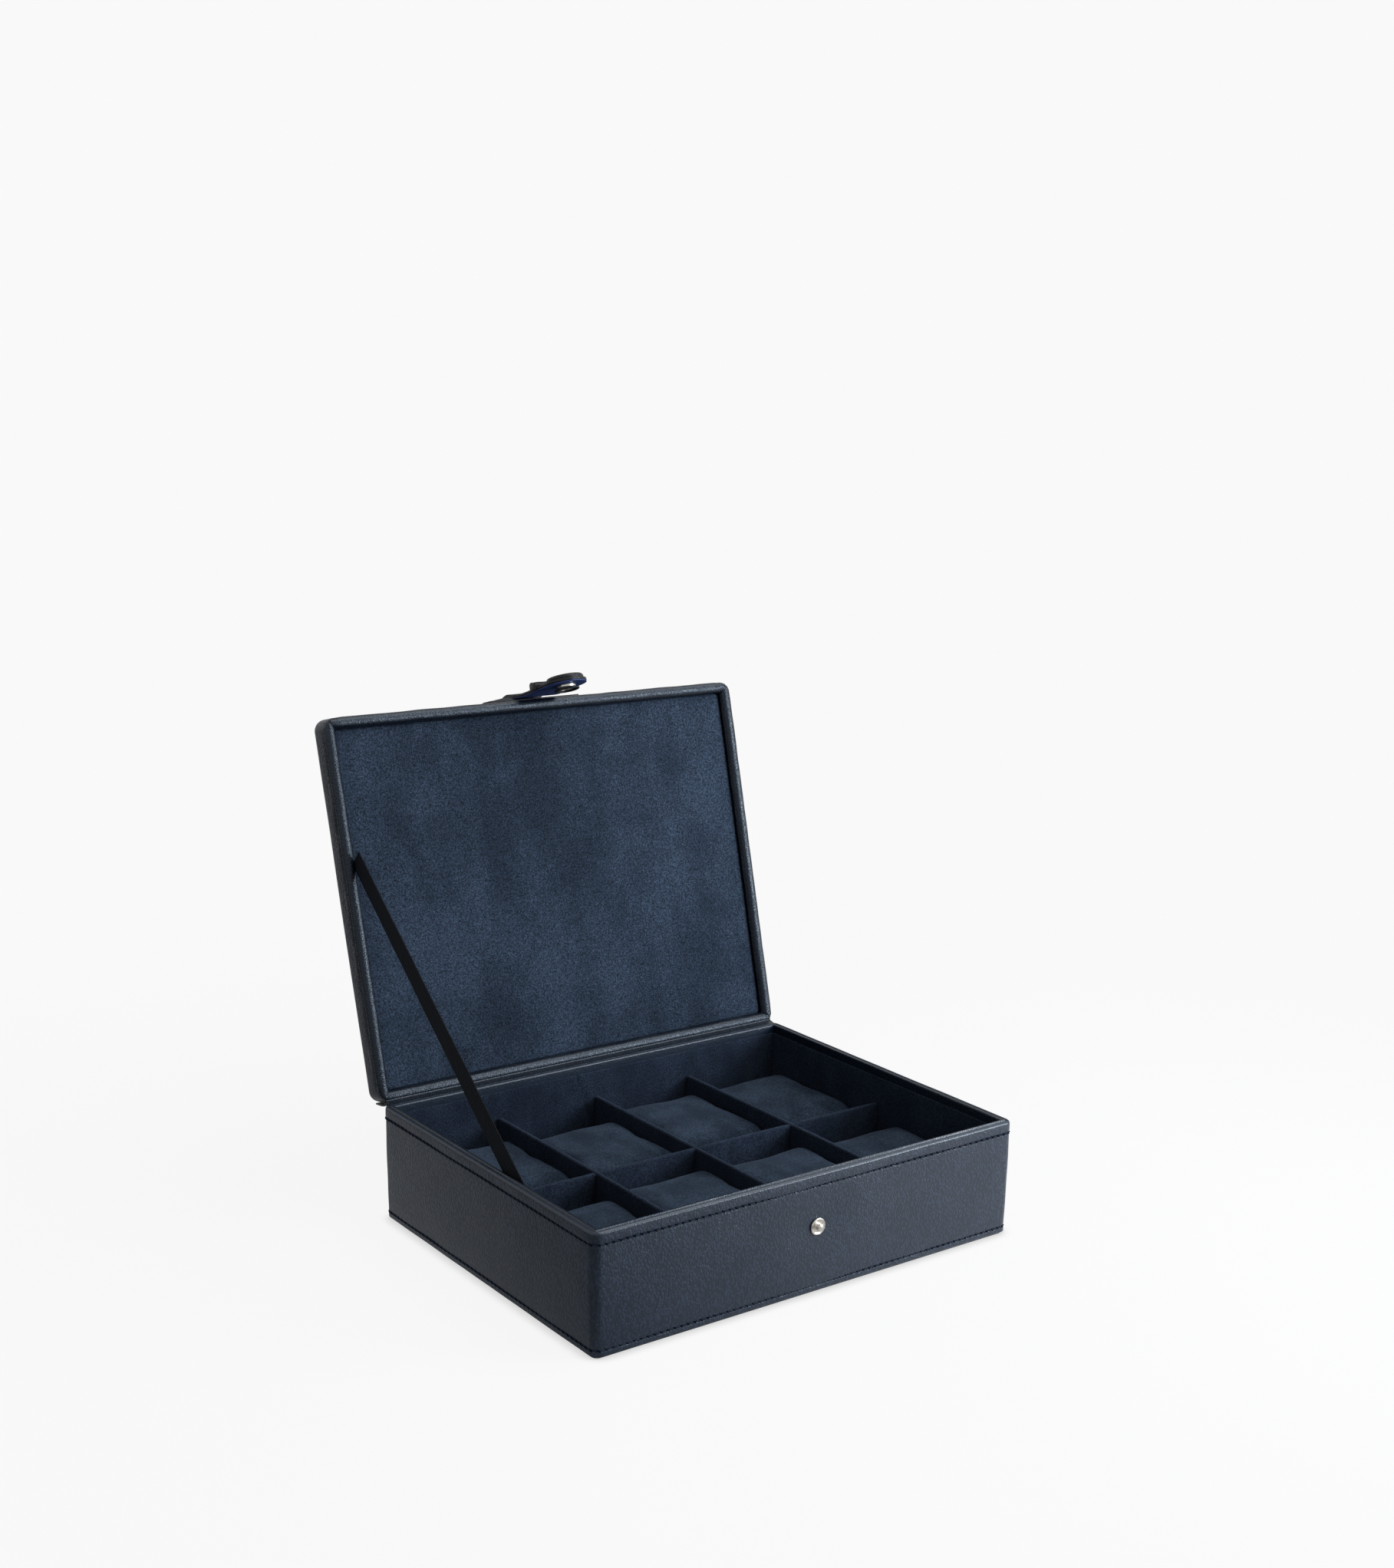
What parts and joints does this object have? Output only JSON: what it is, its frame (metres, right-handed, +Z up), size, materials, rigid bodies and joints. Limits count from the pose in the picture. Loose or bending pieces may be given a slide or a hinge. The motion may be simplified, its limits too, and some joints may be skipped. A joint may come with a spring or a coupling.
{
  "type": "watch box",
  "caption": "Leather-covered watch box: a shallow suede-lined tray divided into cushioned bays, with a hinged padded lid, a ribbon stay and a press-stud strap.",
  "frame": {"origin": "centre of the tray's footprint, on the surface that the box stands on", "axes": "+X to the right seen from the front, +Y to the back where the lid is hinged, +Z up; stored with the lid open 104.4 degrees, as in the picture"},
  "size_m": [0.27, 0.2898, 0.2884],
  "materials": {
    "grained_leather": "fine pebbled grain, soft sheen",
    "binding_leather": "fine grain, soft sheen",
    "strap_leather": "grained, soft sheen",
    "blue_lining": "smooth, matte",
    "suede": "napped, matte",
    "cushion_suede": "napped, matte",
    "ribbon": "ribbed weave, matte",
    "fibreboard": "raw board, hidden",
    "foam": "hidden padding",
    "bottom_cover": "matte",
    "nickel": "polished nickel"
  },
  "bodies": {
    "tray": {"bottom_cover": "bottom_cover", "base_board": "fibreboard", "front_wall_board": "fibreboard", "back_wall_board": "fibreboard", "left_wall_board": "fibreboard", "right_wall_board": "fibreboard", "outer_leather_wrap": "grained_leather", "floor_lining": "suede", "front_lining_panel": "suede", "back_lining_panel": "suede", "left_lining_panel": "suede", "right_lining_panel": "suede", "long_divider_left": "suede", "long_divider_middle": "suede", "long_divider_right": "suede", "cross_divider": "suede", "hinge_spine_leather": "grained_leather", "inner_hinge_strip": "binding_leather", "ribbon_stay": "ribbon", "snap_stud": "nickel", "stud_backing": "nickel"},
    "lid": {"lid_board": "fibreboard", "lid_front_rail": "fibreboard", "lid_back_rail": "fibreboard", "lid_left_rail": "fibreboard", "lid_right_rail": "fibreboard", "lid_leather_cover": "grained_leather", "lid_rim_binding": "binding_leather", "lid_suede_panel": "suede", "lid_foam_pad": "foam", "strap_root": "strap_leather", "strap_patch": "strap_leather"},
    "strap": {"strap_tongue": "strap_leather", "strap_lining": "blue_lining", "strap_roll": "strap_leather", "strap_head": "strap_leather", "snap_cap": "nickel", "snap_socket": "nickel", "socket_washer": "strap_leather"},
    "cushion_back_1": {"cushion_back_1": "cushion_suede"},
    "cushion_back_2": {"cushion_back_2": "cushion_suede"},
    "cushion_back_3": {"cushion_back_3": "cushion_suede"},
    "cushion_back_4": {"cushion_back_4": "cushion_suede"},
    "cushion_front_1": {"cushion_front_1": "cushion_suede"},
    "cushion_front_2": {"cushion_front_2": "cushion_suede"},
    "cushion_front_3": {"cushion_front_3": "cushion_suede"},
    "cushion_front_4": {"cushion_front_4": "cushion_suede"}
  },
  "joints": [
    {"name": "lid_hinge", "type": "hinge", "parent": "tray", "child": "lid", "pos_m": [0, 0.105, 0.0655], "axis": [-1, 0, 0], "range_deg": [-104.4, 0], "deforming": ["hinge_spine_leather", "inner_hinge_strip", "ribbon_stay"]},
    {"name": "strap_hinge", "type": "hinge", "parent": "lid", "child": "strap", "pos_m": [0, 0.15931, 0.27219], "axis": [-1, 0, 0], "range_deg": [0, 75]},
    {"name": "cushion_back_1_lift", "type": "slide", "parent": "tray", "child": "cushion_back_1", "axis": [0, 0, 1], "range_m": [0, 0.062]},
    {"name": "cushion_back_2_lift", "type": "slide", "parent": "tray", "child": "cushion_back_2", "axis": [0, 0, 1], "range_m": [0, 0.062]},
    {"name": "cushion_back_3_lift", "type": "slide", "parent": "tray", "child": "cushion_back_3", "axis": [0, 0, 1], "range_m": [0, 0.062]},
    {"name": "cushion_back_4_lift", "type": "slide", "parent": "tray", "child": "cushion_back_4", "axis": [0, 0, 1], "range_m": [0, 0.062]},
    {"name": "cushion_front_1_lift", "type": "slide", "parent": "tray", "child": "cushion_front_1", "axis": [0, 0, 1], "range_m": [0, 0.062]},
    {"name": "cushion_front_2_lift", "type": "slide", "parent": "tray", "child": "cushion_front_2", "axis": [0, 0, 1], "range_m": [0, 0.062]},
    {"name": "cushion_front_3_lift", "type": "slide", "parent": "tray", "child": "cushion_front_3", "axis": [0, 0, 1], "range_m": [0, 0.062]},
    {"name": "cushion_front_4_lift", "type": "slide", "parent": "tray", "child": "cushion_front_4", "axis": [0, 0, 1], "range_m": [0, 0.062]}
  ]
}
